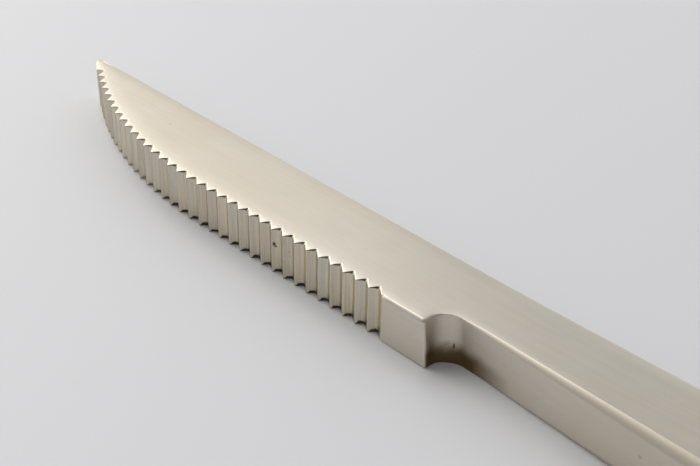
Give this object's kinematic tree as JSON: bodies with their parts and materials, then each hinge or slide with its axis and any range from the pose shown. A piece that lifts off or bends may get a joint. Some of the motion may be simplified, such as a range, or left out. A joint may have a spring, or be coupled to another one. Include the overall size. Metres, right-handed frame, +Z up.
{
  "type": "table knife",
  "caption": "Thick one-piece metal table knife lying on its side, with a fluted cutting edge, a plain heel, a scooped neck and a plain handle that swells towards its end.",
  "frame": {"origin": "centre of the knife's bounding box, on the flat underside that lies on the table", "axes": "+X along the knife from the handle to the tip, +Y across it from the spine to the cutting edge, +Z up from the table through the thickness"},
  "size_m": [0.23, 0.0194, 0.0124],
  "materials": {
    "satin_metal": "satin, faintly brushed along the knife, warm pale grey, with brighter worn edges and a few small pits"
  },
  "bodies": {
    "root": {"knife": "satin_metal"}
  },
  "joints": []
}
